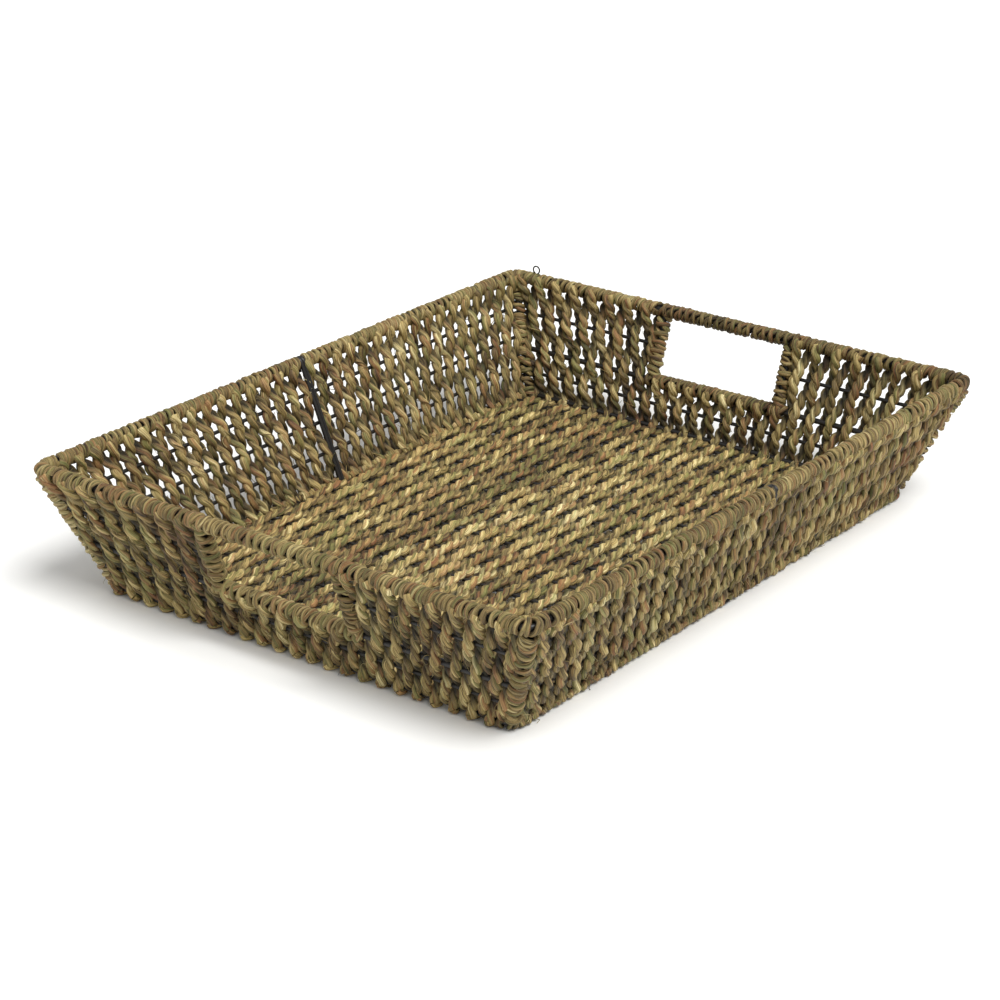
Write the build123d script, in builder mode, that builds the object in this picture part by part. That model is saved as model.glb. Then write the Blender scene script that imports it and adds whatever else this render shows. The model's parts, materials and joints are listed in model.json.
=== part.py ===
from build123d import *
import os
from math import hypot, sqrt

# Bread basket: a flared tray woven from seagrass rope on a frame of painted wire.
# X runs along the tray, Y across it, Z up; the origin is the middle of the underside.
# All sizes are in millimetres.

# Outline of the tray, between wire centres
rim_length = 450.0
rim_width = 350.0
base_length = 400.0
base_width = 290.0
rim_wire_height = 77.0
corner_radius = 6.0

# Wires of the frame
frame_wire = 3.6
level_wire = 2.4
cross_wire = 2.4
strut_wire = 2.6
strut_wire_spacing = 2.4
strut_tail = 6.0
strut_clearance = 0.3

# Weave and bindings
weave_thickness = 9.0
rim_binding = 9.6
corner_binding = 11.0
handle_binding = 10.0
rim_corner_reach = 14.0

# Heights of the thin wires that run round the walls
long_wall_levels = (22.5, 40.5, 58.5)
end_wall_low_level = 18.5
end_wall_high_level = 55.0

# Hand openings in the two short walls
handle_bar_height = 33.0
handle_opening_width = 88.0

# Wires across the floor, an even number so that none meets the struts
cross_wire_spacing = 28.5
cross_wire_end_gap = 2.0

# Small loop of fibre that stands on the rim beside one corner
loop_radius = 2.6
loop_thickness = 1.0
loop_from_corner = 18.5
loop_sink = 0.3

# Worked out from the sizes above
base_wire_height = weave_thickness / 2
wall_rise = rim_wire_height - base_wire_height
corner_inset = corner_radius * (1 - 1 / sqrt(2))
strut_width = strut_wire_spacing + strut_wire
strut_gap = strut_width + 2 * strut_clearance
hook_radius = (frame_wire + strut_wire) / 2
level_wire_offset = hook_radius - (strut_wire + level_wire) / 2
handle_post_offset = (handle_opening_width + handle_binding) / 2
handle_half_span = handle_post_offset + handle_binding / 2
base_corner_reach = corner_inset + corner_binding / 2

os.makedirs("parts", exist_ok=True)


def save(piece, label):
    piece.part.label = label
    export_step(piece.part, f"parts/{label}.step")
    return piece.part


def rod(start, end, outer, inner=0.0):
    """A straight round rod from one point to another, or a tube if it has a bore."""
    with BuildPart() as straight:
        with BuildSketch(Plane(origin=start, z_dir=end - start)):
            Circle(outer / 2)
            if inner:
                Circle(inner / 2, mode=Mode.SUBTRACT)
        extrude(amount=(end - start).length)
    return straight.part


def bent_rod(signs, length, width, height, reach_x, reach_y, outer, inner=0.0):
    """A rod or tube round one corner of a level rectangle with round corners."""
    bend_x = signs[0] * (length / 2 - corner_radius)
    bend_y = signs[1] * (width / 2 - corner_radius)
    side_x = signs[0] * length / 2
    side_y = signs[1] * width / 2
    far_x = signs[0] * (length / 2 - reach_x)
    far_y = signs[1] * (width / 2 - reach_y)
    turn = 90 * signs[0] * signs[1]
    with BuildPart() as bent:
        add(rod(Vector(far_x, side_y, height), Vector(bend_x, side_y, height), outer, inner))
        add(rod(Vector(side_x, far_y, height), Vector(side_x, bend_y, height), outer, inner))
        with BuildSketch(Plane(origin=(side_x, bend_y, height), z_dir=(0, 1, 0))):
            Circle(outer / 2)
            if inner:
                Circle(inner / 2, mode=Mode.SUBTRACT)
        revolve(axis=Axis((bend_x, bend_y, height), (0, 0, 1)), revolution_arc=turn)
    return bent.part


class Wall:
    """One sloping wall. Its plane has x along the wall, y up the slope and z outwards."""

    def __init__(self, heading, base_reach, rim_reach, base_run, rim_run):
        self.outward = Vector(1, 0, 0).rotate(Axis.Z, heading)
        along = Vector(0, 1, 0).rotate(Axis.Z, heading)
        foot = self.outward * base_reach + Vector(0, 0, base_wire_height)
        up_slope = self.outward * (rim_reach - base_reach) + Vector(0, 0, wall_rise)
        self.plane = Plane(origin=foot, x_dir=along, z_dir=along.cross(up_slope))
        self.slope = hypot(rim_reach - base_reach, wall_rise)
        self.base_half = base_run / 2 - corner_inset
        self.rim_half = rim_run / 2 - corner_inset
        self.post_lean = hypot(self.slope, self.rim_half - self.base_half) / self.slope

    def up(self, height):
        """Distance up the slope at a height above the underside."""
        return (height - base_wire_height) / wall_rise * self.slope

    def half_length(self, height):
        """Distance along the wall from its middle to the corner post."""
        share = (height - base_wire_height) / wall_rise
        return self.base_half + (self.rim_half - self.base_half) * share

    def point(self, along, up, out=0.0):
        return self.plane.from_local_coords(Vector(along, up, out))


walls = {
    "front": Wall(270, base_width / 2, rim_width / 2, base_length, rim_length),
    "back": Wall(90, base_width / 2, rim_width / 2, base_length, rim_length),
    "left": Wall(180, base_length / 2, rim_length / 2, base_width, rim_width),
    "right": Wall(0, base_length / 2, rim_length / 2, base_width, rim_width),
}
corners = {
    "front_left": (-1, -1),
    "front_right": (1, -1),
    "back_left": (-1, 1),
    "back_right": (1, 1),
}
# The two ends of each wall, by the sign of x in its plane
wall_ends = {
    "front": {1: "right", -1: "left"},
    "back": {1: "left", -1: "right"},
    "left": {1: "front", -1: "back"},
    "right": {1: "back", -1: "front"},
}


def post_axis(corner):
    """The foot and head of a corner post's axis, on the bends of the base and rim wires."""
    signs = corners[corner]
    foot_x = signs[0] * (base_length / 2 - corner_inset)
    foot_y = signs[1] * (base_width / 2 - corner_inset)
    head_x = signs[0] * (rim_length / 2 - corner_inset)
    head_y = signs[1] * (rim_width / 2 - corner_inset)
    return Vector(foot_x, foot_y, base_wire_height), Vector(head_x, head_y, rim_wire_height)


# ---- wire frame ----

with BuildPart() as rim_wire:
    for signs in corners.values():
        add(bent_rod(signs, rim_length, rim_width, rim_wire_height,
                     rim_length / 2, rim_width / 2, frame_wire))
save(rim_wire, "rim_wire")

with BuildPart() as base_wire:
    for signs in corners.values():
        add(bent_rod(signs, base_length, base_width, base_wire_height,
                     base_length / 2, base_width / 2, frame_wire))
save(base_wire, "base_wire")

# Each post butts against the base wire below and the rim wire above
posts = {}
for corner in corners:
    foot, head = post_axis(corner)
    with BuildPart() as corner_post:
        add(rod(foot, head, frame_wire))
        add(rim_wire.part, mode=Mode.SUBTRACT)
        add(base_wire.part, mode=Mode.SUBTRACT)
    posts[corner] = save(corner_post, f"corner_post_{corner}")

# Struts: a pair of wires down the inside of each long wall, hooked round the rim and base wires
for side in ("front", "back"):
    wall = walls[side]
    with BuildPart() as mid_strut:
        for shift in (-strut_wire_spacing / 2, strut_wire_spacing / 2):
            strut_plane = Plane(
                origin=wall.point(shift, 0),
                x_dir=wall.plane.z_dir,
                z_dir=wall.plane.x_dir * -1,
            )
            with BuildLine(strut_plane) as strut_path:
                Line((hook_radius, wall.slope - strut_tail), (hook_radius, wall.slope))
                ThreePointArc(
                    (hook_radius, wall.slope),
                    (0, wall.slope + hook_radius),
                    (-hook_radius, wall.slope),
                )
                Line((-hook_radius, wall.slope), (-hook_radius, 0))
                ThreePointArc((-hook_radius, 0), (0, -hook_radius), (hook_radius, 0))
            with BuildSketch(Plane(origin=strut_path.line @ 0, z_dir=strut_path.line % 0)):
                Circle(strut_wire / 2)
            sweep(path=strut_path.line)
    save(mid_strut, f"mid_strut_{side}")

# Handles: a bar wire along each short wall and two posts from it to the rim
bar_wires = {}
handle_posts = {}
for end in ("left", "right"):
    wall = walls[end]
    bar_up = wall.up(handle_bar_height)
    bar_half = wall.half_length(handle_bar_height)
    with BuildPart() as handle_bar_wire:
        add(rod(wall.point(-bar_half, bar_up), wall.point(bar_half, bar_up), frame_wire))
        for side in ("front", "back"):
            add(posts[f"{side}_{end}"], mode=Mode.SUBTRACT)
    bar_wires[end] = save(handle_bar_wire, f"handle_bar_wire_{end}")
    for sign, side in wall_ends[end].items():
        along = sign * handle_post_offset
        foot = wall.point(along, bar_up + frame_wire / 2)
        head = wall.point(along, wall.slope - frame_wire / 2)
        with BuildPart() as handle_post_wire:
            add(rod(foot, head, frame_wire))
        handle_posts[end, side] = save(handle_post_wire, f"handle_post_wire_{end}_{side}")

# Thin wires round the walls, which the ropes are woven over
level_wires = {}
for side in ("front", "back"):
    wall = walls[side]
    with BuildPart() as wall_wires:
        for height in long_wall_levels:
            reach = wall.half_length(height)
            up = wall.up(height)
            near = wall.point(-reach, up, -level_wire_offset)
            far = wall.point(reach, up, -level_wire_offset)
            add(rod(near, far, level_wire))
        for end in ("left", "right"):
            add(posts[f"{side}_{end}"], mode=Mode.SUBTRACT)
    level_wires[side] = save(wall_wires, f"wall_wires_{side}")
for end in ("left", "right"):
    wall = walls[end]
    low_up = wall.up(end_wall_low_level)
    low_reach = wall.half_length(end_wall_low_level)
    high_up = wall.up(end_wall_high_level)
    high_reach = wall.half_length(end_wall_high_level)
    with BuildPart() as wall_wires:
        add(rod(wall.point(-low_reach, low_up), wall.point(low_reach, low_up), level_wire))
        for sign in (-1, 1):
            near = wall.point(sign * handle_post_offset, high_up)
            far = wall.point(sign * high_reach, high_up)
            add(rod(near, far, level_wire))
        for side in ("front", "back"):
            add(posts[f"{side}_{end}"], mode=Mode.SUBTRACT)
            add(handle_posts[end, side], mode=Mode.SUBTRACT)
    level_wires[end] = save(wall_wires, f"wall_wires_{end}")

# Thin wires across the floor, from base wire to base wire
cross_wire_room = base_length / 2 - base_corner_reach - cross_wire_end_gap
cross_wires_each_side = int(cross_wire_room / cross_wire_spacing + 0.5)
cross_wire_places = []
for number in range(cross_wires_each_side):
    cross_wire_places += [(number + 0.5) * cross_wire_spacing, -(number + 0.5) * cross_wire_spacing]
base_side = {}
for sign in (-1, 1):
    y = sign * base_width / 2
    near = Vector(-base_length / 2 + corner_radius, y, base_wire_height)
    far = Vector(base_length / 2 - corner_radius, y, base_wire_height)
    base_side[sign] = rod(near, far, frame_wire)
with BuildPart() as floor_cross_wires:
    for x in cross_wire_places:
        near = Vector(x, -base_width / 2, base_wire_height)
        far = Vector(x, base_width / 2, base_wire_height)
        add(rod(near, far, cross_wire))
    for sign in (-1, 1):
        add(base_side[sign], mode=Mode.SUBTRACT)
save(floor_cross_wires, "floor_cross_wires")

# ---- rope bindings ----

# Round the bends of the rim and base wires, and up the corner posts between them
for corner, signs in corners.items():
    side, end = corner.split("_")
    foot, head = post_axis(corner)
    axis = (head - foot).normalized()
    post_line = rod(foot, head, frame_wire)
    with BuildPart() as rim_corner_binding:
        add(bent_rod(signs, rim_length, rim_width, rim_wire_height,
                     rim_corner_reach, rim_corner_reach, rim_binding, frame_wire))
        add(post_line, mode=Mode.SUBTRACT)
    save(rim_corner_binding, f"rim_corner_binding_{corner}")
    with BuildPart() as base_corner_binding:
        add(bent_rod(signs, base_length, base_width, base_wire_height,
                     base_corner_reach, base_corner_reach, weave_thickness, frame_wire))
        add(post_line, mode=Mode.SUBTRACT)
    save(base_corner_binding, f"base_corner_binding_{corner}")
    with BuildPart() as corner_post_binding:
        lower = foot + axis * (weave_thickness / 2)
        upper = head - axis * (rim_binding / 2)
        add(rod(lower, upper, corner_binding, frame_wire))
        add(bent_rod(signs, rim_length, rim_width, rim_wire_height,
                     rim_corner_reach, rim_corner_reach, rim_binding), mode=Mode.SUBTRACT)
        add(bent_rod(signs, base_length, base_width, base_wire_height,
                     base_corner_reach, base_corner_reach, weave_thickness), mode=Mode.SUBTRACT)
        add(level_wires[side], mode=Mode.SUBTRACT)
        add(level_wires[end], mode=Mode.SUBTRACT)
        add(bar_wires[end], mode=Mode.SUBTRACT)
    save(corner_post_binding, f"corner_post_binding_{corner}")

# Rim, along the long walls on each side of the strut
rim_covers = []
for side in ("front", "back"):
    wall = walls[side]
    far = rim_length / 2 - rim_corner_reach
    for sign, half in wall_ends[side].items():
        start = wall.point(sign * strut_gap / 2, wall.slope)
        with BuildPart() as rim_side_binding:
            add(rod(start, wall.point(sign * far, wall.slope), rim_binding, frame_wire))
        save(rim_side_binding, f"rim_binding_{side}_{half}")

# Rim, along the short walls on each side of the handle, and the handle's grip
for end in ("left", "right"):
    wall = walls[end]
    far = rim_width / 2 - rim_corner_reach
    for sign, half in wall_ends[end].items():
        start = wall.point(sign * handle_half_span, wall.slope)
        with BuildPart() as rim_end_binding:
            add(rod(start, wall.point(sign * far, wall.slope), rim_binding, frame_wire))
        rim_covers.append(save(rim_end_binding, f"rim_binding_{end}_{half}"))
    near = wall.point(-handle_half_span, wall.slope)
    far = wall.point(handle_half_span, wall.slope)
    with BuildPart() as handle_grip_binding:
        add(rod(near, far, rim_binding, frame_wire))
        for side in ("front", "back"):
            add(handle_posts[end, side], mode=Mode.SUBTRACT)
    save(handle_grip_binding, f"handle_grip_binding_{end}")

# Handle bars, and the posts that stand on them
for end in ("left", "right"):
    wall = walls[end]
    bar_up = wall.up(handle_bar_height)
    near = wall.point(-handle_half_span, bar_up)
    far = wall.point(handle_half_span, bar_up)
    with BuildPart() as handle_bar_binding:
        add(rod(near, far, handle_binding, frame_wire))
        for side in ("front", "back"):
            add(handle_posts[end, side], mode=Mode.SUBTRACT)
    save(handle_bar_binding, f"handle_bar_binding_{end}")
    for sign, side in wall_ends[end].items():
        along = sign * handle_post_offset
        foot = wall.point(along, bar_up + handle_binding / 2)
        head = wall.point(along, wall.slope - rim_binding / 2)
        with BuildPart() as handle_post_binding:
            add(rod(foot, head, handle_binding, frame_wire))
            add(level_wires[end], mode=Mode.SUBTRACT)
        save(handle_post_binding, f"handle_post_binding_{end}_{side}")


# ---- woven panels ----


def wall_panel(wall, outline, bores):
    """A sloping slab of weave whose lower edge rolls round the base wire.

    The outline is in the wall's plane; each bore is its place up the slope, its place
    outwards and its diameter, and runs the whole length of the wall.
    """
    reach = max(abs(point[0]) for point in outline) + weave_thickness
    across = Plane(origin=wall.point(-reach, 0), x_dir=wall.plane.z_dir * -1, z_dir=wall.plane.x_dir)
    with BuildPart() as panel:
        with BuildSketch(across):
            with Locations((0, wall.slope / 2)):
                Rectangle(weave_thickness, wall.slope)
            Circle(weave_thickness / 2)
            for up, out, diameter in bores:
                with Locations((-out, up)):
                    Circle(diameter / 2, mode=Mode.SUBTRACT)
        extrude(amount=2 * reach)
        with BuildSketch(wall.plane):
            with BuildLine():
                Polyline(*outline, close=True)
            make_face()
        extrude(amount=weave_thickness, both=True, mode=Mode.INTERSECT)
    return panel.part


def outer_outline(wall, sign, near):
    """Outline of a panel from a near edge out to the corner post's binding."""
    lower_end = wall.base_half - corner_binding / 2
    upper_end = wall.rim_half - corner_binding / 2 * wall.post_lean
    return [
        (sign * near, -weave_thickness),
        (sign * lower_end, -weave_thickness),
        (sign * lower_end, weave_thickness / 2),
        (sign * upper_end, wall.slope),
        (sign * upper_end, wall.slope + weave_thickness),
        (sign * near, wall.slope + weave_thickness),
    ]


for side in ("front", "back"):
    wall = walls[side]
    bores = [(0, 0, frame_wire), (wall.slope, 0, rim_binding)]
    bores += [(wall.up(height), -level_wire_offset, level_wire) for height in long_wall_levels]
    for sign, half in wall_ends[side].items():
        outline = outer_outline(wall, sign, strut_gap / 2)
        with BuildPart() as wall_weave:
            add(wall_panel(wall, outline, bores))
            for x in cross_wire_places:
                if x * wall.plane.x_dir.X * sign > 0:
                    end_of_wire = Vector(x, wall.outward.Y * base_width / 2, base_wire_height)
                    inside = end_of_wire - wall.outward * weave_thickness
                    add(rod(inside, end_of_wire, cross_wire), mode=Mode.SUBTRACT)
        save(wall_weave, f"wall_weave_{side}_{half}")

for end in ("left", "right"):
    wall = walls[end]
    bar_up = wall.up(handle_bar_height)
    bores = [
        (0, 0, frame_wire),
        (wall.up(end_wall_low_level), 0, level_wire),
        (bar_up, 0, frame_wire),
        (wall.up(end_wall_high_level), 0, level_wire),
        (wall.slope, 0, rim_binding),
    ]
    for sign, side in wall_ends[end].items():
        outline = outer_outline(wall, sign, handle_half_span)
        with BuildPart() as end_weave:
            add(wall_panel(wall, outline, bores))
        save(end_weave, f"end_weave_{end}_{side}")
    bores = [
        (0, 0, frame_wire),
        (wall.up(end_wall_low_level), 0, level_wire),
        (bar_up, 0, handle_binding),
    ]
    outline = [
        (-handle_half_span, -weave_thickness),
        (handle_half_span, -weave_thickness),
        (handle_half_span, bar_up),
        (-handle_half_span, bar_up),
    ]
    with BuildPart() as end_weave_below:
        add(wall_panel(wall, outline, bores))
    save(end_weave_below, f"end_weave_{end}_below_handle")

# The floor lies inside the rolled lower edges of the walls, and clear of the struts' feet
floor_margin = max(weave_thickness / 2, hook_radius + strut_wire / 2)
floor_length = base_length - weave_thickness
floor_width = base_width - 2 * floor_margin
with BuildPart() as floor_weave:
    with BuildSketch(Plane.XZ.offset(-floor_width / 2)):
        with Locations((0, base_wire_height)):
            Rectangle(floor_length, weave_thickness)
        for x in cross_wire_places:
            with Locations((x, base_wire_height)):
                Circle(cross_wire / 2, mode=Mode.SUBTRACT)
    extrude(amount=floor_width)
    upright_edges = floor_weave.edges().filter_by(Axis.Z)
    fillet(upright_edges, radius=corner_radius - weave_thickness / 2)
save(floor_weave, "floor_weave")

# ---- loop of fibre on the rim ----

loop_height = rim_wire_height + rim_binding / 2 + loop_radius - loop_sink
loop_centre = Vector(rim_length / 2, rim_width / 2 - loop_from_corner, loop_height)
with BuildPart() as rim_fibre_loop:
    with Locations(Location(loop_centre, (0, 90, 0))):
        Torus(loop_radius, loop_thickness / 2)
    for cover in rim_covers:
        add(cover, mode=Mode.SUBTRACT)
save(rim_fibre_loop, "rim_fibre_loop")
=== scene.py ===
import bpy
import json
import math
import numpy as np
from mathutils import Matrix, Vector


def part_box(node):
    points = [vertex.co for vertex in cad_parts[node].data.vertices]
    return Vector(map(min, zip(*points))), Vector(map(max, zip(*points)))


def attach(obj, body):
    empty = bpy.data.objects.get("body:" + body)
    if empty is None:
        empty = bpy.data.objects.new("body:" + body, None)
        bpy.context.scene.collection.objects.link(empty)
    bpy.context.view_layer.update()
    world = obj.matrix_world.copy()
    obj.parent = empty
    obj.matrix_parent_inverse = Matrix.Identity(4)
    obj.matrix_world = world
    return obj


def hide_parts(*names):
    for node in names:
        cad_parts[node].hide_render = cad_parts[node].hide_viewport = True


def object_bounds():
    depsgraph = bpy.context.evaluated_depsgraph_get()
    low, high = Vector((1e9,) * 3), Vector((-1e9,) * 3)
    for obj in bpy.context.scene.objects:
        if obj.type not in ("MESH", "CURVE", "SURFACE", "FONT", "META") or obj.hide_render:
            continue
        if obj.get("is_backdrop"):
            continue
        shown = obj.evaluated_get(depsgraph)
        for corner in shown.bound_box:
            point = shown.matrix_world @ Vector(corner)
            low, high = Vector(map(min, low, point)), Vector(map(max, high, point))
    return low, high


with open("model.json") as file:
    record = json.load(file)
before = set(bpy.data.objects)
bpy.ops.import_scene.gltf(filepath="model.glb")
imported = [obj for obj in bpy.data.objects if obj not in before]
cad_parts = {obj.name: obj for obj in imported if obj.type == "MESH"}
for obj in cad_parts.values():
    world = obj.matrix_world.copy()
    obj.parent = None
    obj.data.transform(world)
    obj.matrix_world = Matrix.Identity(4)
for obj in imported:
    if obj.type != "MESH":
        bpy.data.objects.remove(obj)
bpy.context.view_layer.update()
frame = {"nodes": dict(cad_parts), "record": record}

# places read from the frame, in millimetres

mm = 0.001  # one millimetre in the scene's metres


def nodeBox(node):
    low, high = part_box(node)
    return np.array(low) / mm, np.array(high) / mm


def nodeMiddle(node):
    low, high = nodeBox(node)
    return (low + high) / 2


rimLow, rimHigh = nodeBox("rim_wire")
baseHigh = nodeBox("base_wire")[1]
wireRadius = (rimHigh[2] - rimLow[2]) / 2
rimHalf = rimHigh[:2] - wireRadius  # half length and half width of the rim, to the wire's centre
baseHalf = baseHigh[:2] - wireRadius
rimZ = rimHigh[2] - wireRadius
baseZ = baseHigh[2] - wireRadius
crossLow, crossHigh = nodeBox("floor_cross_wires")
crossRadius = (crossHigh[2] - crossLow[2]) / 2
barZ = nodeMiddle("handle_bar_wire_left")[2]
postLow, postHigh = nodeBox("handle_post_wire_left_front")
handleHalf = abs((postLow[1] + postHigh[1]) / 2)  # from the middle of a short wall to a handle post
strutHalf = nodeBox("mid_strut_front")[1][0]
longLow, longHigh = nodeBox("wall_wires_front")
longLevels = [longLow[2] + crossRadius, (longLow[2] + longHigh[2]) / 2, longHigh[2] - crossRadius]
endLow, endHigh = nodeBox("wall_wires_left")
endLevels = [endLow[2] + crossRadius, barZ, endHigh[2] - crossRadius]
rng = np.random.default_rng(20)
print("frame read")


# curves


def smoothPath(points, step):
    # a Catmull-Rom line through the points, sampled at about one step
    points = np.asarray(points, float)
    ends = np.vstack([2 * points[0] - points[1], points, 2 * points[-1] - points[-2]])
    pieces = []
    for number in range(1, len(ends) - 2):
        p0, p1, p2, p3 = ends[number - 1:number + 3]
        count = max(2, int(round(np.linalg.norm(p2 - p1) / step)))
        t = np.arange(count)[:, None] / count
        pieces.append(0.5 * (2 * p1 + (p2 - p0) * t + (2 * p0 - 5 * p1 + 4 * p2 - p3) * t ** 2
                             + (3 * p1 - p0 - 3 * p2 + p3) * t ** 3))
    pieces.append(points[-1:])
    return np.vstack(pieces)


def unit(vectors):
    return vectors / np.maximum(np.linalg.norm(vectors, axis=-1, keepdims=True), 1e-9)


def runLength(points):
    return np.concatenate([[0], np.cumsum(np.linalg.norm(np.diff(points, axis=0), axis=1))])


def slowNoise(count, reach, size):
    # smooth random drift: one new value every reach samples, eased between
    knots = rng.normal(0, size, count // reach + 3)
    t = np.arange(count) / reach
    low = t.astype(int)
    part = t - low
    part = part * part * (3 - 2 * part)
    return knots[low] * (1 - part) + knots[low + 1] * part


def plies(line, faces, rope, tone, swell=1.0, core=None):
    # the two twisted strands of one rope along a line; faces is the side the rope lies flat to
    tangent = unit(np.gradient(line, axis=0))
    across = unit(np.cross(tangent, faces))
    out = unit(np.cross(across, tangent))
    run = runLength(line)
    phase = rng.uniform(0, 2 * math.pi)
    turn = phase + 2 * math.pi * run / rope["twistPitch"] + slowNoise(len(line), 8, 0.3)
    strands = []
    for number in range(2):
        angle = turn + math.pi * number
        wide = rope["spread"] * swell * np.cos(angle)
        deep = rope["depth"] * np.sin(angle)
        place = line + across * wide[:, None] + out * deep[:, None]
        radius = rope["radius"] * swell * (1 + slowNoise(len(line), 6, rope["uneven"]))
        place[:, 2] = np.maximum(place[:, 2], radius + 0.1)  # the lowest ropes rest on the table
        shade = rng.random()
        strands.append({"line": place, "core": line if core is None else core, "radius": radius,
                        "run": run + rng.uniform(0, 900), "shade": shade, "tone": tone})
    return strands


# one tree turns strand lines into solid strands


def addNode(tree, kind, links=None, **settings):
    node = tree.nodes.new(kind)
    for key, value in settings.items():
        setattr(node, key, value)
    for socket, value in (links or {}).items():
        target = node.inputs[socket]
        if isinstance(value, bpy.types.NodeSocket):
            tree.links.new(value, target)
        else:
            target.default_value = value
    return node


def makeStrandTree():
    tree = bpy.data.node_groups.new("strandTree", "GeometryNodeTree")
    face = tree.interface
    face.new_socket("Geometry", in_out="INPUT", socket_type="NodeSocketGeometry")
    sides = face.new_socket("Sides", in_out="INPUT", socket_type="NodeSocketInt")
    sides.default_value = 7
    rough = face.new_socket("Roughness", in_out="INPUT", socket_type="NodeSocketFloat")
    rough.default_value = 0.0001
    grain = face.new_socket("Grain", in_out="INPUT", socket_type="NodeSocketFloat")
    grain.default_value = 9.0
    face.new_socket("Material", in_out="INPUT", socket_type="NodeSocketMaterial")
    face.new_socket("Geometry", in_out="OUTPUT", socket_type="NodeSocketGeometry")
    start = tree.nodes.new("NodeGroupInput")
    end = tree.nodes.new("NodeGroupOutput")
    curve = addNode(tree, "GeometryNodeMeshToCurve", {"Mesh": start.outputs["Geometry"]})
    radius = addNode(tree, "GeometryNodeInputNamedAttribute", {"Name": "strandRadius"}, data_type="FLOAT")
    ring = addNode(tree, "GeometryNodeCurvePrimitiveCircle",
                   {"Resolution": start.outputs["Sides"], "Radius": 1.0})
    place = tree.nodes.new("GeometryNodeInputPosition")
    marked = addNode(tree, "GeometryNodeStoreNamedAttribute",
                     {"Geometry": ring.outputs["Curve"], "Name": "section", "Value": place.outputs[0]},
                     data_type="FLOAT_VECTOR", domain="POINT")
    solid = addNode(tree, "GeometryNodeCurveToMesh",
                    {"Curve": curve.outputs["Curve"], "Profile Curve": marked.outputs["Geometry"],
                     "Scale": radius.outputs["Attribute"], "Fill Caps": True})
    outward = tree.nodes.new("GeometryNodeInputNormal")
    section = addNode(tree, "GeometryNodeInputNamedAttribute", {"Name": "section"}, data_type="FLOAT_VECTOR")
    along = addNode(tree, "GeometryNodeInputNamedAttribute", {"Name": "along"}, data_type="FLOAT")
    lengthways = addNode(tree, "ShaderNodeMath", {0: along.outputs["Attribute"], 1: start.outputs["Grain"]},
                         operation="DIVIDE")
    upright = addNode(tree, "ShaderNodeCombineXYZ", {"Z": lengthways.outputs[0]})
    ridgeVector = addNode(tree, "ShaderNodeVectorMath",
                          {0: section.outputs["Attribute"], 1: upright.outputs["Vector"]}, operation="ADD")
    bumps = addNode(tree, "ShaderNodeTexNoise",
                    {"Vector": ridgeVector.outputs["Vector"], "Scale": 1.7, "Detail": 2.0})
    centred = addNode(tree, "ShaderNodeMath", {0: bumps.outputs[0], 1: 0.5}, operation="SUBTRACT")
    size = addNode(tree, "ShaderNodeMath", {0: centred.outputs[0], 1: start.outputs["Roughness"]},
                   operation="MULTIPLY")
    push = addNode(tree, "ShaderNodeVectorMath", {0: outward.outputs[0], "Scale": size.outputs[0]},
                   operation="SCALE")
    moved = addNode(tree, "GeometryNodeSetPosition",
                    {"Geometry": solid.outputs["Mesh"], "Offset": push.outputs["Vector"]})
    smooth = addNode(tree, "GeometryNodeSetShadeSmooth", {"Geometry": moved.outputs["Geometry"]})
    real = addNode(tree, "GeometryNodeRealizeInstances", {"Geometry": smooth.outputs["Geometry"]})
    painted = addNode(tree, "GeometryNodeSetMaterial",
                      {"Geometry": real.outputs["Geometry"], "Material": start.outputs["Material"]})
    tree.links.new(painted.outputs["Geometry"], end.inputs["Geometry"])
    return tree


strandTree = makeStrandTree()


def strandPiece(name, strands, material, sides, rough=1.1, grain=9.0):
    # one plain mesh from many strand lines
    lines = [strand["line"] for strand in strands]
    counts = [len(line) for line in lines]
    starts = np.concatenate([[0], np.cumsum(counts)[:-1]])
    edges = np.concatenate([np.arange(s, s + n - 1) for s, n in zip(starts, counts)])
    mesh = bpy.data.meshes.new(name)
    mesh.vertices.add(sum(counts))
    mesh.vertices.foreach_set("co", (np.vstack(lines) * mm).ravel().astype(np.float32))
    mesh.edges.add(len(edges))
    mesh.edges.foreach_set("vertices", np.column_stack([edges, edges + 1]).ravel().astype(np.int32))
    floats = {"strandRadius": [s["radius"] * mm for s in strands], "along": [s["run"] for s in strands],
              "shade": [np.full(len(s["line"]), s["shade"]) for s in strands],
              "tone": [np.full(len(s["line"]), s["tone"]) for s in strands]}
    for key, values in floats.items():
        attribute = mesh.attributes.new(key, "FLOAT", "POINT")
        attribute.data.foreach_set("value", np.concatenate(values).astype(np.float32))
    cores = np.vstack([s["core"] for s in strands]) * mm
    core = mesh.attributes.new("core", "FLOAT_VECTOR", "POINT")
    core.data.foreach_set("vector", cores.ravel().astype(np.float32))
    lineHolder = bpy.data.objects.new(name + "Lines", mesh)
    bpy.context.scene.collection.objects.link(lineHolder)
    modifier = lineHolder.modifiers.new("strands", "NODES")
    modifier.node_group = strandTree
    values = {"Sides": sides, "Roughness": rough * mm, "Grain": grain, "Material": material}
    for item in strandTree.interface.items_tree:
        if item.in_out == "INPUT" and item.name in values:
            modifier[item.identifier] = values[item.name]
    bpy.context.view_layer.update()
    graph = bpy.context.evaluated_depsgraph_get()
    final = bpy.data.meshes.new_from_object(lineHolder.evaluated_get(graph))
    final.name = name
    bpy.data.objects.remove(lineHolder)
    bpy.data.meshes.remove(mesh)
    piece = bpy.data.objects.new(name, final)
    bpy.context.scene.collection.objects.link(piece)
    return piece


# materials


def linear(hexColour):
    parts = [int(hexColour[i:i + 2], 16) / 255 for i in (1, 3, 5)]
    return [c / 12.92 if c <= 0.04045 else ((c + 0.055) / 1.055) ** 2.4 for c in parts] + [1.0]


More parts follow.
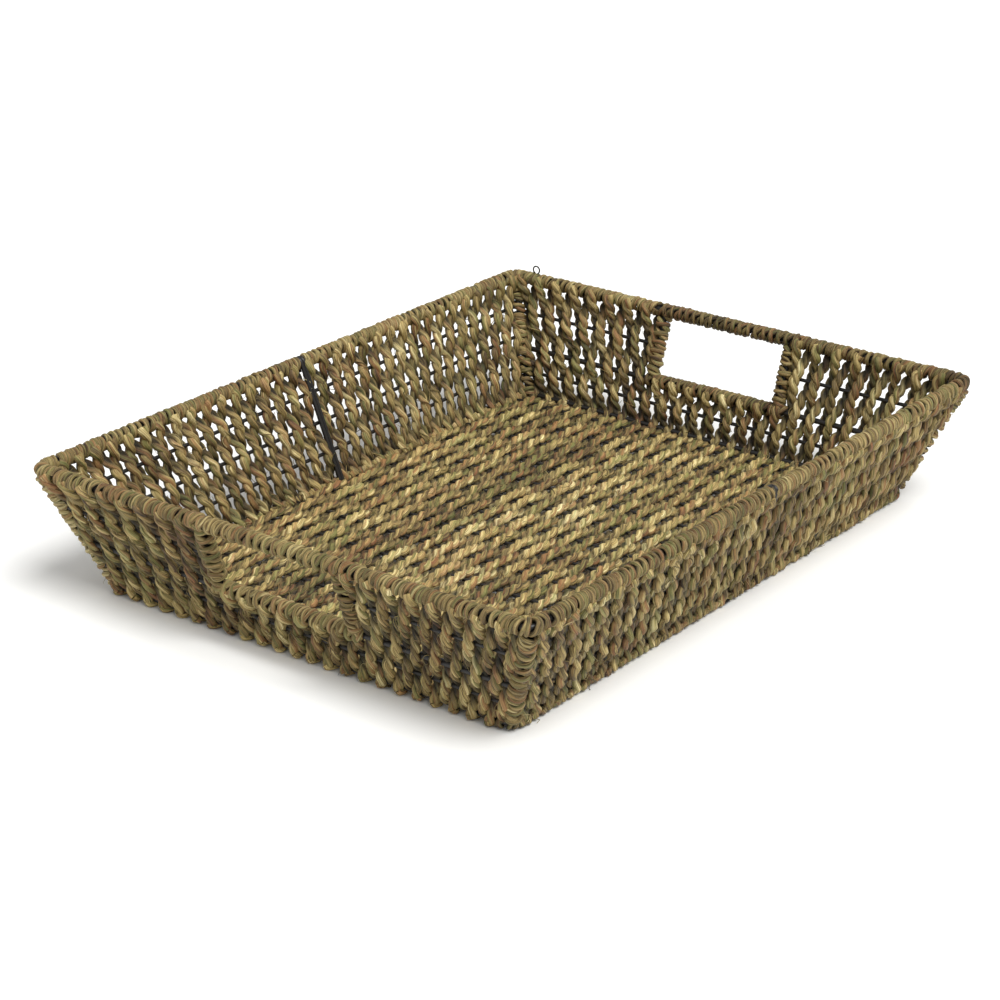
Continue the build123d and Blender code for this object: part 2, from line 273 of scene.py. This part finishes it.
seagrassLook = {
    "tones": ["#251a12", "#5a452b", "#857145", "#b59e63", "#e6d7a0"],
    "stops": [0.0, 0.22, 0.42, 0.66, 0.95],  # where each tone stands, from dark to pale
    "rust": "#95603c",
    "green": "#636f36",
    "rustShare": 0.6,       # how far a rust blade leaves its tone
    "greenShare": 0.55,
    "strandTone": 0.28,     # how much each thing moves the tone
    "patchTone": 0.5,
    "bladeTone": 0.9,
    "fibreTone": 1.1,
    "darker": 0.88,         # taken off the sum
    "bladesRound": 1.5,     # blades of grass round a strand
    "fibresRound": 7.0,     # fibres round a strand, fewer than the real ones so that they show
    "fibresAlong": 0.02,    # per millimetre of strand
    "patch": 26.0,          # colour patches, in millimetres
    "bump": 0.0007,
    "roughness": 0.58,
    "ior": 1.45,
    "hollowLight": 0.1,     # share of light left in the hollows
    "grooveLight": 0.35,    # and between fibres
}


def seagrassMaterial(name, batch, look):
    # dried seagrass, hand twisted: matt olive to straw blades with long fibres, with painted shade in the
    # hollows
    material = bpy.data.materials.new(name)
    material.use_nodes = True
    tree = material.node_tree
    tree.nodes.clear()
    section = addNode(tree, "ShaderNodeAttribute", attribute_name="section")
    along = addNode(tree, "ShaderNodeAttribute", attribute_name="along")
    shade = addNode(tree, "ShaderNodeAttribute", attribute_name="shade")
    tone = addNode(tree, "ShaderNodeAttribute", attribute_name="tone")
    core = addNode(tree, "ShaderNodeAttribute", attribute_name="core")
    place = addNode(tree, "ShaderNodeTexCoord")
    # noise that is long along the strand and short round it, different in each strand
    lengthways = addNode(tree, "ShaderNodeMath", {0: along.outputs["Fac"], 1: look["fibresAlong"]},
                         operation="MULTIPLY")
    drift = addNode(tree, "ShaderNodeMath", {0: shade.outputs["Fac"], 1: 61.0}, operation="MULTIPLY")
    depthways = addNode(tree, "ShaderNodeMath", {0: lengthways.outputs[0], 1: drift.outputs[0]})
    joined = addNode(tree, "ShaderNodeCombineXYZ", {"Z": depthways.outputs[0]})
    strandPlace = addNode(tree, "ShaderNodeVectorMath", {0: section.outputs["Vector"],
                          1: joined.outputs["Vector"]}, operation="ADD")
    blade = addNode(tree, "ShaderNodeTexNoise", {"Vector": strandPlace.outputs["Vector"],
                    "Scale": look["bladesRound"], "Detail": 1.0})
    fibre = addNode(tree, "ShaderNodeTexNoise", {"Vector": strandPlace.outputs["Vector"],
                    "Scale": look["fibresRound"], "Detail": 4.0, "Roughness": 0.6})
    patch = addNode(tree, "ShaderNodeTexNoise", {"Vector": place.outputs["Object"],
                    "Scale": 1000 / look["patch"], "Detail": 2.0})
    # which colour a blade has
    strandTone = addNode(tree, "ShaderNodeMath", {0: shade.outputs["Fac"], 1: look["strandTone"],
                         2: tone.outputs["Fac"]},
                         operation="MULTIPLY_ADD")
    withPatch = addNode(tree, "ShaderNodeMath", {0: patch.outputs[0], 1: look["patchTone"],
                        2: strandTone.outputs[0]},
                        operation="MULTIPLY_ADD")
    withBlade = addNode(tree, "ShaderNodeMath", {0: blade.outputs[0], 1: look["bladeTone"],
                        2: withPatch.outputs[0]},
                        operation="MULTIPLY_ADD")
    withFibre = addNode(tree, "ShaderNodeMath", {0: fibre.outputs[0], 1: look["fibreTone"],
                        2: withBlade.outputs[0]},
                        operation="MULTIPLY_ADD")
    ready = addNode(tree, "ShaderNodeMath", {0: withFibre.outputs[0], 1: look["darker"]},
                    operation="SUBTRACT")
    ramp = addNode(tree, "ShaderNodeValToRGB", {"Fac": ready.outputs[0]})
    while len(ramp.color_ramp.elements) < len(look["stops"]):
        ramp.color_ramp.elements.new(0.5)
    for element, at, colour in zip(ramp.color_ramp.elements, look["stops"], look["tones"]):
        element.position = at
        element.color = linear(colour)
    # some blades are rust brown, some green
    hue = addNode(tree, "ShaderNodeTexNoise", {"Vector": strandPlace.outputs["Vector"], "Scale": 0.8,
                  "Detail": 1.0})
    brown = addNode(tree, "ShaderNodeMapRange", {"Value": hue.outputs[0], "From Min": 0.55,
                    "From Max": 0.68, "To Max": look["rustShare"]})
    green = addNode(tree, "ShaderNodeMapRange", {"Value": hue.outputs[0], "From Min": 0.45,
                    "From Max": 0.33, "To Max": look["greenShare"]})
    first = addNode(tree, "ShaderNodeMix", {"Factor": brown.outputs[0], 6: ramp.outputs["Color"],
                    7: linear(look["rust"])}, data_type="RGBA")
    second = addNode(tree, "ShaderNodeMix", {"Factor": green.outputs[0], 6: first.outputs[2],
                     7: linear(look["green"])}, data_type="RGBA")
    # painted shade: the colour is darker in the hollows between the strands, away from each rope's middle,
    # and in the grooves between fibres
    away = addNode(tree, "ShaderNodeVectorMath", {0: place.outputs["Object"], 1: core.outputs["Vector"]},
                   operation="DISTANCE")
    paintedHollowShade = addNode(tree, "ShaderNodeMapRange", {"Value": away.outputs["Value"],
                     "From Min": batch["hollowFrom"] * mm, "From Max": batch["hollowTo"] * mm,
                     "To Min": look["hollowLight"], "To Max": 1.0})
    paintedGrooveShade = addNode(tree, "ShaderNodeMapRange", {"Value": fibre.outputs[0], "From Min": 0.34,
                     "From Max": 0.5, "To Min": look["grooveLight"], "To Max": 1.0})
    shadow = addNode(tree, "ShaderNodeMath", {0: paintedHollowShade.outputs[0], 1: paintedGrooveShade.outputs[0]},
                     operation="MULTIPLY")
    # painted light: the painted shade is scaled by the batch's painted light level
    lit = addNode(tree, "ShaderNodeMath", {0: shadow.outputs[0], 1: batch["paintedLightLevel"]},
                  operation="MULTIPLY")
    darkened = addNode(tree, "ShaderNodeVectorMath", {0: second.outputs[2], "Scale": lit.outputs[0]},
                       operation="SCALE")
    bump = addNode(tree, "ShaderNodeBump", {"Height": fibre.outputs[0], "Distance": look["bump"],
                   "Strength": 1.0})
    shader = addNode(tree, "ShaderNodeBsdfPrincipled", {"Base Color": darkened.outputs["Vector"],
                     "Roughness": look["roughness"], "Normal": bump.outputs["Normal"],
                     "IOR": look["ior"]})
    out = tree.nodes.new("ShaderNodeOutputMaterial")
    tree.links.new(shader.outputs["BSDF"], out.inputs["Surface"])
    return material


paintLook = {"colour": "#0c0b0a", "worn": "#1d1916", "roughness": 0.42, "speck": 3.0}


def paintedWireMaterial(look):
    # steel wire, dip painted black: satin, with faint runs
    material = bpy.data.materials.new("blackDippedWire")
    material.use_nodes = True
    tree = material.node_tree
    shader = tree.nodes["Principled BSDF"]
    place = addNode(tree, "ShaderNodeTexCoord")
    noise = addNode(tree, "ShaderNodeTexNoise", {"Vector": place.outputs["Object"],
                    "Scale": 1000 / look["speck"], "Detail": 3.0})
    mix = addNode(tree, "ShaderNodeMix", {"Factor": noise.outputs[0], 6: linear(look["colour"]),
                  7: linear(look["worn"])}, data_type="RGBA")
    bump = addNode(tree, "ShaderNodeBump", {"Height": noise.outputs[0], "Distance": 0.0001,
                   "Strength": 0.3})
    tree.links.new(mix.outputs[2], shader.inputs["Base Color"])
    tree.links.new(bump.outputs["Normal"], shader.inputs["Normal"])
    shader.inputs["Roughness"].default_value = look["roughness"]
    return material


# painted light: how light each batch is painted, the floor lightest as if lit from above, the walls and
# bindings darker as if less lit; and how far from a rope's middle its painted hollow shade begins and ends,
# in millimetres
floorBatch = {"paintedLightLevel": 1.38, "hollowFrom": 1.2, "hollowTo": 3.7}
wallBatch = {"paintedLightLevel": 1.1, "hollowFrom": 1.4, "hollowTo": 4.0}
bindingBatch = {"paintedLightLevel": 0.9, "hollowFrom": 2.8, "hollowTo": 4.7}
floorGrass = seagrassMaterial("seagrassRopeFloor", floorBatch, seagrassLook)
wallGrass = seagrassMaterial("seagrassRopeWalls", wallBatch, seagrassLook)
bindingGrass = seagrassMaterial("seagrassBinding", bindingBatch, seagrassLook)
wirePaint = paintedWireMaterial(paintLook)
print("materials made")

slots = {row["node"]: row["material_slot"] for row in frame["record"]["subparts"]}
for name, node in frame["nodes"].items():
    if slots[name] == "frame_wire":
        node.data.materials.clear()
        node.data.materials.append(wirePaint)

# woven ropes

weave = {
    "ropesAcross": 46,      # ropes that run along the tray, over the floor and up the short walls
    "ropesAlong": 66,       # ropes up each long wall
    "step": 1.5,            # between two points of a rope's line
    "sides": 8,             # faces round a ply
    "wander": 0.35,
    "zigzag": 0.8,          # sideways, up the walls
    "edge": 3.5,            # from the end of a panel to its first rope
    "strutShare": 0.45,     # how much of a strut's half width stays bare
    "toneSpread": 0.06,     # how far the ropes differ in tone
    "pass": 0.9,            # share of the full hold where a rope passes a frame wire
    "passEnd": 0.8,         # and at its end
}
# spread and depth: from a rope's middle to a ply's middle; swing: from a thin wire to the rope's middle
floorRope = {"spread": 1.5, "depth": 0.8, "radius": 1.95, "twistPitch": 13.0, "uneven": 0.13,
             "swing": 1.8}
wallRope = {"spread": 1.5, "depth": 0.75, "radius": 2.15, "twistPitch": 16.0, "uneven": 0.12,
            "swing": 2.1}


def wallPoint(axis, sign, along, z, inward):
    # a point on a wall: axis 0 is a short wall and 1 a long wall; along runs from -1 to 1 between posts
    share = (z - baseZ) / (rimZ - baseZ)
    reach = baseHalf[axis] + (rimHalf[axis] - baseHalf[axis]) * share
    other = 1 - axis
    half = baseHalf[other] + (rimHalf[other] - baseHalf[other]) * share
    flare = rimHalf[axis] - baseHalf[axis]
    slope = math.hypot(flare, rimZ - baseZ)
    point = np.zeros(3)
    point[axis] = sign * (reach - inward * (rimZ - baseZ) / slope)
    point[other] = along * half
    point[2] = z + inward * flare / slope
    return point


def inwardNormal(axis, sign):
    flare = rimHalf[axis] - baseHalf[axis]
    slope = math.hypot(flare, rimZ - baseZ)
    normal = np.zeros(3)
    normal[axis] = -sign * (rimZ - baseZ) / slope
    normal[2] = flare / slope
    return normal


# the wires across the floor, one cluster of the node's points each
crossPlaces = np.sort([corner.co.x / mm for corner in frame["nodes"]["floor_cross_wires"].data.vertices])
crossX = [group.mean() for group in np.split(crossPlaces, np.where(np.diff(crossPlaces) > 3)[0] + 1)]
wireHold = wireRadius + wallRope["radius"]


def crossPath(along, side):
    # one rope from the left wall over the floor to the right wall, in three parts
    swing = floorRope["swing"]
    y = along * baseHalf[1]
    short = abs(along * (baseHalf[1] + rimHalf[1]) / 2) < handleHalf
    floorPoints = []
    floorSide = side
    for x in crossX:
        lift = swing * floorSide * (1 + rng.normal(0, 0.05))
        wander = rng.normal(0, weave["wander"])
        floorPoints.append([x, y + wander, baseZ + lift])
        floorSide = -floorSide
    walls = {}
    for sign, startSide in ((-1, -side), (1, floorSide)):
        levels = [endLevels[0]] if short else list(endLevels)
        topZ = barZ if short else rimZ
        points = []
        # round the base wire, closer to it inside than outside
        inward = unit(inwardNormal(0, sign) + np.array([0, 0, 1.0]))
        corner = np.array([sign * baseHalf[0], y, baseZ])
        points.append(corner + inward * wireHold * (0.3 if startSide > 0 else -0.85))
        s = -startSide
        for z in levels:
            shift = along + (rng.normal(0, weave["wander"]) + weave["zigzag"] * s) / rimHalf[1]
            points.append(wallPoint(0, sign, shift, z, wallRope["swing"] * s))
            s = -s
        points.append(wallPoint(0, sign, along, topZ - 3.0, wireHold * weave["pass"] * s))
        points.append(wallPoint(0, sign, along, topZ + 0.5, wireHold * weave["passEnd"] * s))
        walls[sign] = points
    return walls[-1][::-1], floorPoints, walls[1]


floorStrands = {"front": [], "middle": [], "back": []}
endStrands = {}
for number in range(weave["ropesAcross"]):
    along = (number + 0.5) / weave["ropesAcross"] * 2 - 1
    along *= 1 - weave["edge"] / baseHalf[1]
    side = 1 if number % 2 else -1
    leftPart, floorPart, rightPart = crossPath(along, side)
    points = np.array(leftPart + floorPart + rightPart)
    line = smoothPath(points, weave["step"])
    faces = np.tile(np.array([0, 0, 1.0]), (len(line), 1))
    blendLeft = np.clip((-baseHalf[0] + 8 - line[:, 0]) / 10, 0, 1)[:, None]
    blendRight = np.clip((line[:, 0] - baseHalf[0] + 8) / 10, 0, 1)[:, None]
    faces = faces * (1 - blendLeft) + inwardNormal(0, -1) * blendLeft
    faces = unit(faces * (1 - blendRight) + inwardNormal(0, 1) * blendRight)
    tone = rng.normal(0, weave["toneSpread"])
    onWall = np.clip((line[:, 2] - 12) / (rimZ - 12), 0, 1)
    middle = line.copy()
    middle[:, 2] = baseZ
    for sign in (-1, 1):
        outside = line[:, 0] * sign > baseHalf[0]
        normal = inwardNormal(0, sign)
        away = (line - np.array([sign * baseHalf[0], 0, baseZ])) @ normal
        middle[outside] = (line - away[:, None] * normal)[outside]
    ropeStrands = plies(line, faces, floorRope, tone, 1 + 0.14 * onWall, middle)
    third = ("front", "middle", "back")[number * 3 // weave["ropesAcross"]]
    middleY = along * (baseHalf[1] + rimHalf[1]) / 2
    part = "below_handle" if abs(middleY) < handleHalf else "front" if along < 0 else "back"
    for strand in ropeStrands:
        first = int(np.argmax(strand["core"][:, 0] > -baseHalf[0]))
        last = len(line) - int(np.argmax(strand["core"][::-1, 0] < baseHalf[0]))
        cuts = (("left", 0, first + 1), ("floor", first, last), ("right", last - 1, len(line)))
        for key, low, high in cuts:
            cut = {k: (v[low:high] if isinstance(v, np.ndarray) else v) for k, v in strand.items()}
            if key == "floor":
                floorStrands[third].append(cut)
            else:
                endStrands.setdefault((key, part), []).append(cut)

wallStrands = {}
for side, sign in (("front", -1), ("back", 1)):
    for number in range(weave["ropesAlong"]):
        along = (number + 0.5) / weave["ropesAlong"] * 2 - 1
        gap = weave["strutShare"] * strutHalf / baseHalf[0]
        along = math.copysign(gap + abs(along) * (1 - gap - weave["edge"] / baseHalf[0]), along)
        s = 1 if number % 2 else -1
        hold = wallRope["swing"]
        points = [wallPoint(1, sign, along, baseZ + 2.0, -hold * 0.7 * s)]
        foot = wallPoint(1, sign, along, baseZ, 0)
        normal = inwardNormal(1, sign)
        climb = unit(wallPoint(1, sign, along, rimZ, 0) - foot)
        points.append(foot - normal * hold * 0.9 * s - climb * 0.5)
        points.append(foot - climb * hold * 0.95)
        points.append(foot + normal * hold * 0.95 * s)
        for z in longLevels:
            s = -s
            shift = along + (rng.normal(0, weave["wander"]) + weave["zigzag"] * s) / rimHalf[0]
            points.append(wallPoint(1, sign, shift, z, hold * s))
        s = -s
        points.append(wallPoint(1, sign, along, rimZ - 4.0, wireHold * weave["pass"] * s))
        points.append(wallPoint(1, sign, along, rimZ - 0.5, wireHold * weave["passEnd"] * s))
        line = smoothPath(points, weave["step"])
        faces = np.tile(normal, (len(line), 1))
        half = "left" if along < 0 else "right"
        away = (line - foot) @ normal
        middle = line - away[:, None] * normal
        rise = np.clip((line[:, 2] - baseZ) / (rimZ - baseZ), 0, 1)
        level = 2 * math.pi * (line[:, 2] - longLevels[1]) / (longLevels[1] - longLevels[0])
        swell = 0.93 + 0.13 * rise + 0.04 * np.cos(level)  # fuller towards the rim and at each wire
        ropeStrands = plies(line, faces, wallRope, rng.normal(0, weave["toneSpread"]), swell, middle)
        wallStrands.setdefault((side, half), []).extend(ropeStrands)

for key, strands in floorStrands.items():
    piece = strandPiece(f"floorRopes.{key}", strands, floorGrass, weave["sides"])
    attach(piece, "root")
    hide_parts("floor_weave")
for (end, part), strands in endStrands.items():
    piece = strandPiece(f"endWallRopes.{end}.{part}", strands, wallGrass, weave["sides"])
    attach(piece, "root")
    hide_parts(f"end_weave_{end}_{part}")
for (side, half), strands in wallStrands.items():
    piece = strandPiece(f"wallRopes.{side}.{half}", strands, wallGrass, weave["sides"])
    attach(piece, "root")
    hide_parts(f"wall_weave_{side}_{half}")


def looseFibres(strands, count, look):
    # thin ends of grass that have come away from the ropes
    hairs = []
    for number in range(count):
        strand = strands[rng.integers(len(strands))]
        size = rng.integers(look["shortest"], look["longest"])
        if len(strand["line"]) < size + 4:
            continue
        first = rng.integers(0, len(strand["line"]) - size)
        part = slice(first, first + size)
        line = strand["line"][part]
        out = unit(line - strand["core"][part])
        lift = strand["radius"][part] + np.linspace(0.1, rng.uniform(0.3, look["lift"]), size)
        lean = rng.normal(0, 1, 3) * look["lean"]
        bend = np.linspace(0, 1, size)[:, None] ** 2 * lean
        place = line + out * lift[:, None] + bend
        place[:, 2] = np.maximum(place[:, 2], 0.3)
        radius = rng.uniform(*look["radius"]) * np.linspace(1.0, 0.5, size)
        hairs.append({"line": place, "core": place + 9.0, "radius": radius, "run": runLength(place),
                      "shade": rng.random(), "tone": rng.uniform(-0.25, 0.2)})
    return hairs


fibreLook = {"floor": 420, "walls": 900, "shortest": 5, "longest": 14, "lift": 1.6, "lean": 2.2,
             "radius": (0.16, 0.38)}
allFloor = [strand for strands in floorStrands.values() for strand in strands]
wallGroups = list(wallStrands.values()) + list(endStrands.values())
allWalls = [strand for strands in wallGroups for strand in strands]
for name, strands, material, slotName in (("floor", allFloor, floorGrass, "floor_seagrass"),
                                          ("walls", allWalls, wallGrass, "wall_seagrass")):
    hairs = looseFibres(strands, fibreLook[name], fibreLook)
    piece = strandPiece(f"looseFibres.{name}", hairs, material, 4, rough=0.0)
    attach(piece, "root")
print("woven panels made")

# bindings wound round the wires

rimWrap = {"spread": 1.32, "depth": 0.2, "radius": 1.36, "twistPitch": 42.0, "uneven": 0.14,
           "pitch": 5.2, "core": 1.85, "bunch": 0.1}
gripWrap = {"spread": 1.6, "depth": 0.4, "radius": 1.5, "twistPitch": 22.0, "uneven": 0.1,
            "pitch": 6.0, "core": 1.5, "bunch": 0.06}
postWrap = {"spread": 1.6, "depth": 0.45, "radius": 1.6, "twistPitch": 22.0, "uneven": 0.12,
            "pitch": 6.4, "core": 1.5, "bunch": 0.12}
baseWrap = {"spread": 1.5, "depth": 0.3, "radius": 1.35, "twistPitch": 22.0, "uneven": 0.08,
            "pitch": 6.0, "core": 1.2, "bunch": 0.06}


winding = {"wireStep": 0.5, "step": 1.0, "bunchReach": 1.7, "swellReach": 0.4, "swell": 0.045}


def windRope(wirePoints, upward, rope):
    # a rope wound round a wire; upward is any direction that is never along the wire
    wire = smoothPath(wirePoints, winding["wireStep"])
    wireWay = unit(np.gradient(wire, axis=0))
    run = runLength(wire)
    turns = run[-1] / rope["pitch"]
    ringRadius = rope["core"] + rope["radius"] + rope["depth"]
    count = int(turns * 2 * math.pi * ringRadius / winding["step"])
    t = np.linspace(0, 1, count)
    # the turns bunch up a little, and leave gaps where there are jumps
    bunch = slowNoise(count, max(4, int(count / turns * winding["bunchReach"])), rope["bunch"])
    at = np.clip(t * run[-1] + bunch * rope["pitch"], 0, run[-1])
    middle = np.column_stack([np.interp(at, run, wire[:, axis]) for axis in range(3)])
    along = np.column_stack([np.interp(at, run, wireWay[:, axis]) for axis in range(3)])
    along = unit(along)
    first = unit(np.cross(along, np.array(upward, float)))
    second = unit(np.cross(first, along))
    angle = rng.uniform(0, 2 * math.pi) + 2 * math.pi * turns * t
    swell = 1 + slowNoise(count, max(3, int(count / turns * winding["swellReach"])), winding["swell"])
    radial = first * np.cos(angle)[:, None] + second * np.sin(angle)[:, None]
    line = middle + radial * (ringRadius * swell)[:, None]
    return plies(line, radial, rope, rng.normal(0, 0.05), 1.0, middle)


def bindPiece(name, node, strands, sides=7):
    piece = strandPiece(name, strands, bindingGrass, sides, rough=0.9)
    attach(piece, "root")
    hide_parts(node)
    return piece


def boxLine(node, axis):
    # the middle line of a straight node that lies along an axis
    low, high = nodeBox(node)
    middle = (low + high) / 2
    start, end = middle.copy(), middle.copy()
    start[axis], end[axis] = low[axis], high[axis]
    return np.linspace(start, end, max(3, int((high[axis] - low[axis]) / 8)))


up = (0, 0, 1)
for side in ("front", "back"):
    for half in ("left", "right"):
        node = f"rim_binding_{side}_{half}"
        line = boxLine(node, 0)
        if side == "front":
            line[np.argmin(abs(line[:, 0])), 0] *= 0.15  # the turns close over the strut's hook
        bindPiece(f"rimBinding.{side}.{half}", node, windRope(line, up, rimWrap))
for end in ("left", "right"):
    for half in ("front", "back"):
        node = f"rim_binding_{end}_{half}"
        bindPiece(f"rimBinding.{end}.{half}", node, windRope(boxLine(node, 1), up, rimWrap))
    node = f"handle_grip_binding_{end}"
    bindPiece(f"handleGrip.{end}", node, windRope(boxLine(node, 1), up, gripWrap))
    node = f"handle_bar_binding_{end}"
    bindPiece(f"handleBar.{end}", node, windRope(boxLine(node, 1), up, gripWrap))
    sign = -1 if end == "left" else 1
    for half in ("front", "back"):
        node = f"handle_post_binding_{end}_{half}"
        y = nodeMiddle(node)[1]
        low = wallPoint(0, sign, 0, barZ + 2, 0)
        high = wallPoint(0, sign, 0, rimZ - 2, 0)
        low[1] = high[1] = y
        bindPiece(f"handlePost.{end}.{half}", node, windRope(np.linspace(low, high, 6), (0, 1, 0), postWrap))


cornerLook = {"bend": 6.0, "rimReach": 14.0, "baseReach": 8.0, "postInset": 1.8}


def cornerLine(signX, signY, half, z, reach):
    # the wire's line round one bend, from one side to the other
    radius = cornerLook["bend"]
    centre = np.array([signX * (half[0] - radius), signY * (half[1] - radius)])
    points = [np.array([signX * (half[0] - reach), signY * half[1], z])]
    for turn in np.linspace(90, 0, 7):
        x = centre[0] + signX * radius * math.cos(math.radians(turn))
        y = centre[1] + signY * radius * math.sin(math.radians(turn))
        points.append(np.array([x, y, z]))
    points.append(np.array([signX * half[0], signY * (half[1] - reach), z]))
    return np.array(points)


for sideName, signY in (("front", -1), ("back", 1)):
    for endName, signX in (("left", -1), ("right", 1)):
        corner = f"{sideName}_{endName}"
        strands = windRope(cornerLine(signX, signY, rimHalf, rimZ, cornerLook["rimReach"]), up, rimWrap)
        bindPiece(f"rimCorner.{corner}", f"rim_corner_binding_{corner}", strands)
        strands = windRope(cornerLine(signX, signY, baseHalf, baseZ, cornerLook["baseReach"]), up, baseWrap)
        bindPiece(f"baseCorner.{corner}", f"base_corner_binding_{corner}", strands)
        inset = cornerLook["postInset"]
        foot = np.array([signX * (baseHalf[0] - inset), signY * (baseHalf[1] - inset), baseZ + 2])
        head = np.array([signX * (rimHalf[0] - inset), signY * (rimHalf[1] - inset), rimZ - 3])
        strands = windRope(np.linspace(foot, head, 10), (0, 1, 0), postWrap)
        bindPiece(f"cornerPost.{corner}", f"corner_post_binding_{corner}", strands)
print("bindings made")

# small fibre loop on the rim

loopLow, loopHigh = nodeBox("rim_fibre_loop")
loopMiddle = (loopLow + loopHigh) / 2
loopLook = {"thickness": 1.0, "points": 30, "shade": 0.2, "tone": -0.3}
angles = np.linspace(-0.35 * math.pi, 1.35 * math.pi, loopLook["points"])
fibreRadius = loopLook["thickness"] / 2
loopRadius = (loopHigh[1] - loopLow[1]) / 2 - fibreRadius
loopZ = loopHigh[2] - loopRadius - fibreRadius
loopLine = np.column_stack([np.full(loopLook["points"], loopMiddle[0]),
                            loopMiddle[1] + loopRadius * np.cos(angles),
                            loopZ + loopRadius * np.sin(angles)])
loopStrand = {"line": loopLine, "core": loopLine, "radius": np.full(loopLook["points"], fibreRadius),
              "run": runLength(loopLine), "shade": loopLook["shade"], "tone": loopLook["tone"]}
loopPiece = strandPiece("rimLoop", [loopStrand], bindingGrass, 7, rough=0.1)
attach(loopPiece, "root")
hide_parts("rim_fibre_loop")

# floor, light and camera

stageLook = {"colour": "#f4f4f2", "size": 12.0, "roughness": 0.9}
floorMesh = bpy.data.meshes.new("studioFloor")
reach = stageLook["size"] / 2
stageCorners = [(-reach, -reach, 0), (reach, -reach, 0), (reach, reach, 0), (-reach, reach, 0)]
floorMesh.from_pydata(stageCorners, [], [(0, 1, 2, 3)])
studioFloor = bpy.data.objects.new("studioFloor", floorMesh)
bpy.context.scene.collection.objects.link(studioFloor)
paper = bpy.data.materials.new("mattPaper")
paper.use_nodes = True
paper.node_tree.nodes["Principled BSDF"].inputs["Base Color"].default_value = linear(stageLook["colour"])
paper.node_tree.nodes["Principled BSDF"].inputs["Roughness"].default_value = stageLook["roughness"]
floorMesh.materials.append(paper)
studioFloor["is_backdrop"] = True

lightLook = {"sky": 0.6, "sunStrength": 3.0, "sunAngle": 35.0, "sunFrom": (-0.15, -0.75, 1.4)}
world = bpy.data.worlds.new("studioSky")
bpy.context.scene.world = world
world.use_nodes = True
world.node_tree.nodes["Background"].inputs["Color"].default_value = (1, 1, 1, 1)
world.node_tree.nodes["Background"].inputs["Strength"].default_value = lightLook["sky"]
sun = bpy.data.lights.new("softSun", "SUN")
sun.energy = lightLook["sunStrength"]
sun.angle = math.radians(lightLook["sunAngle"])
sunHolder = bpy.data.objects.new("softSun", sun)
bpy.context.scene.collection.objects.link(sunHolder)
sunHolder.rotation_euler = Vector(lightLook["sunFrom"]).to_track_quat("Z", "Y").to_euler()

view = {"azimuth": -52.6, "elevation": 22.67, "distance": 1.734, "target": (0.0456, 0.0507, 0.0),
        "lens": 99.6}
azimuth = math.radians(view["azimuth"])
elevation = math.radians(view["elevation"])
back = Vector((math.sin(azimuth) * math.cos(elevation), -math.cos(azimuth) * math.cos(elevation),
               math.sin(elevation)))
cameraData = bpy.data.cameras.new("camera")
cameraData.lens = view["lens"]
cameraData.sensor_width = 36
camera = bpy.data.objects.new("camera", cameraData)
bpy.context.scene.collection.objects.link(camera)
camera.location = Vector(view["target"]) + back * view["distance"]
camera.rotation_euler = back.to_track_quat("Z", "Y").to_euler()
bpy.context.scene.camera = camera
bpy.context.scene.view_settings.view_transform = "Standard"
print("stage, light and camera made")

low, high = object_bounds()
